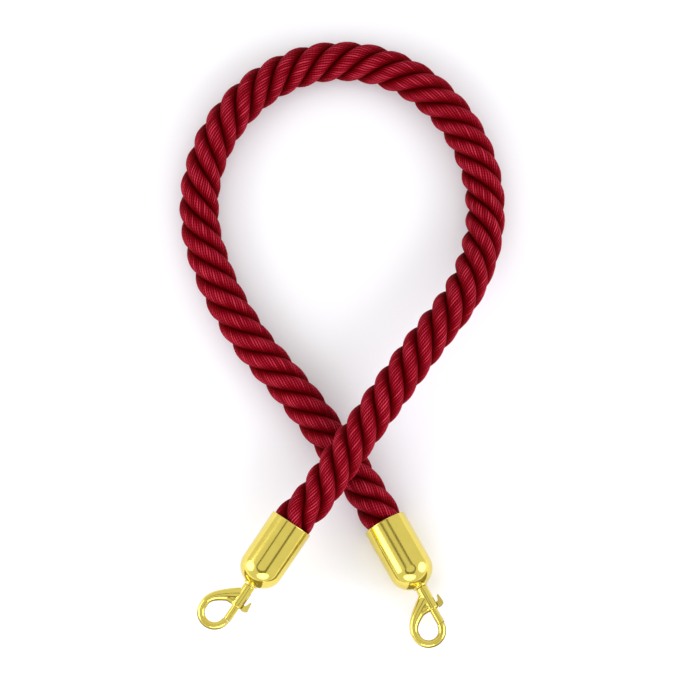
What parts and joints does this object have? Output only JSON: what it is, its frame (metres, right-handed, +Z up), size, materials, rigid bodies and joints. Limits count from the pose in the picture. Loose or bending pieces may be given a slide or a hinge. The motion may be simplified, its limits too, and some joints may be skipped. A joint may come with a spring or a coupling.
{
  "type": "barrier rope",
  "caption": "Thick laid crimson rope with a polished gold cup cap and a swivelling bolt-snap hook at each end, lying in a loop with its ends crossed.",
  "frame": {"origin": "middle of the bounding box's floor face, with the rope lying on the floor", "axes": "+Z up from the floor, +Y from the hooks towards the top of the loop, +X to the right seen from above with the loop's top away from the viewer"},
  "size_m": [0.326, 0.6194, 0.0799],
  "materials": {
    "rope": "soft twisted yarn with a slight sheen",
    "gold": "polished pale gold plate",
    "twine": "waxed twine",
    "steel": "plain"
  },
  "bodies": {
    "rope_02": {"rope_section_02": "rope"},
    "rope_03": {"rope_section_03": "rope"},
    "rope_04": {"rope_section_04": "rope"},
    "rope_05": {"rope_section_05": "rope"},
    "rope_06": {"rope_section_06": "rope"},
    "rope_07": {"rope_section_07": "rope"},
    "rope_08": {"rope_section_08": "rope"},
    "rope_09": {"rope_section_09": "rope"},
    "rope_10": {"rope_section_10": "rope"},
    "rope_11": {"rope_section_11": "rope"},
    "rope_12": {"rope_section_12": "rope"},
    "rope_13": {"rope_section_13": "rope"},
    "rope_14": {"rope_section_14": "rope"},
    "left_end": {"rope_section_01": "rope", "left_cap": "gold", "left_rope_binding": "twine", "left_cap_screw": "gold", "left_swivel_washer": "steel"},
    "right_end": {"rope_section_15": "rope", "right_cap": "gold", "right_rope_binding": "twine", "right_cap_screw": "gold", "right_swivel_washer": "steel"},
    "left_hook": {"left_swivel_stud": "gold", "left_hook_body": "gold", "left_latch_spring": "steel"},
    "left_latch": {"left_latch_bolt": "gold", "left_thumb_lever": "gold"},
    "right_hook": {"right_swivel_stud": "gold", "right_hook_body": "gold", "right_latch_spring": "steel"},
    "right_latch": {"right_latch_bolt": "gold", "right_thumb_lever": "gold"}
  },
  "joints": [
    {"name": "rope_bend_01", "type": "hinge", "parent": "rope_02", "child": "left_end", "pos_m": [-0.02089, -0.15594, 0.0596], "axis": [0, 0, 1], "range_deg": [-6, 6]},
    {"name": "rope_bend_02", "type": "hinge", "parent": "rope_03", "child": "rope_02", "pos_m": [0.02872, -0.08383, 0.0596], "axis": [0, 0, 1], "range_deg": [-6, 6]},
    {"name": "rope_bend_03", "type": "hinge", "parent": "rope_04", "child": "rope_03", "pos_m": [0.07952, -0.01254, 0.0596], "axis": [0, 0, 1], "range_deg": [-6, 6]},
    {"name": "rope_bend_04", "type": "hinge", "parent": "rope_05", "child": "rope_04", "pos_m": [0.12698, 0.06075, 0.04047], "axis": [0, 0, 1], "range_deg": [-6, 6]},
    {"name": "rope_bend_05", "type": "hinge", "parent": "rope_06", "child": "rope_05", "pos_m": [0.14324, 0.14599, 0.01984], "axis": [0, 0, 1], "range_deg": [-6, 6]},
    {"name": "rope_bend_06", "type": "hinge", "parent": "rope_07", "child": "rope_06", "pos_m": [0.11505, 0.2277, 0.01975], "axis": [0, 0, 1], "range_deg": [-6, 6]},
    {"name": "rope_bend_07", "type": "hinge", "parent": "rope_08", "child": "rope_07", "pos_m": [0.04772, 0.28157, 0.01975], "axis": [0, 0, 1], "range_deg": [-6, 6]},
    {"name": "rope_bend_08", "type": "hinge", "parent": "rope_08", "child": "rope_09", "pos_m": [-0.03824, 0.28504, 0.01975], "axis": [0, 0, -1], "range_deg": [-6, 6]},
    {"name": "rope_bend_09", "type": "hinge", "parent": "rope_09", "child": "rope_10", "pos_m": [-0.10951, 0.2366, 0.01975], "axis": [0, 0, -1], "range_deg": [-6, 6]},
    {"name": "rope_bend_10", "type": "hinge", "parent": "rope_10", "child": "rope_11", "pos_m": [-0.14245, 0.15678, 0.01975], "axis": [0, 0, -1], "range_deg": [-6, 6]},
    {"name": "rope_bend_11", "type": "hinge", "parent": "rope_11", "child": "rope_12", "pos_m": [-0.12819, 0.07135, 0.01975], "axis": [0, 0, -1], "range_deg": [-6, 6]},
    {"name": "rope_bend_12", "type": "hinge", "parent": "rope_12", "child": "rope_13", "pos_m": [-0.08519, -0.00457, 0.01975], "axis": [0, 0, -1], "range_deg": [-6, 6]},
    {"name": "rope_bend_13", "type": "hinge", "parent": "rope_13", "child": "rope_14", "pos_m": [-0.02971, -0.07225, 0.01975], "axis": [0, 0, -1], "range_deg": [-6, 6]},
    {"name": "rope_bend_14", "type": "hinge", "parent": "rope_14", "child": "right_end", "pos_m": [0.01979, -0.14441, 0.01975], "axis": [0, 0, -1], "range_deg": [-6, 6]},
    {"name": "left_swivel", "type": "hinge", "parent": "left_end", "child": "left_hook", "pos_m": [-0.09124, -0.25044, 0.04644], "axis": [-0.558, -0.815, -0.1564], "continuous": true},
    {"name": "left_latch_slide", "type": "slide", "parent": "left_hook", "child": "left_latch", "axis": [0.558, 0.815, 0.1564], "range_m": [0, 0.013], "stiffness_N_per_m": 150, "springref_m": -0.01, "deforming": ["left_latch_spring"]},
    {"name": "right_swivel", "type": "hinge", "parent": "right_end", "child": "right_hook", "pos_m": [0.07826, -0.24804, 0.0222], "axis": [0.4833, -0.8755, 0], "continuous": true},
    {"name": "right_latch_slide", "type": "slide", "parent": "right_hook", "child": "right_latch", "axis": [-0.4833, 0.8755, 0], "range_m": [0, 0.013], "stiffness_N_per_m": 150, "springref_m": -0.01, "deforming": ["right_latch_spring"]}
  ]
}
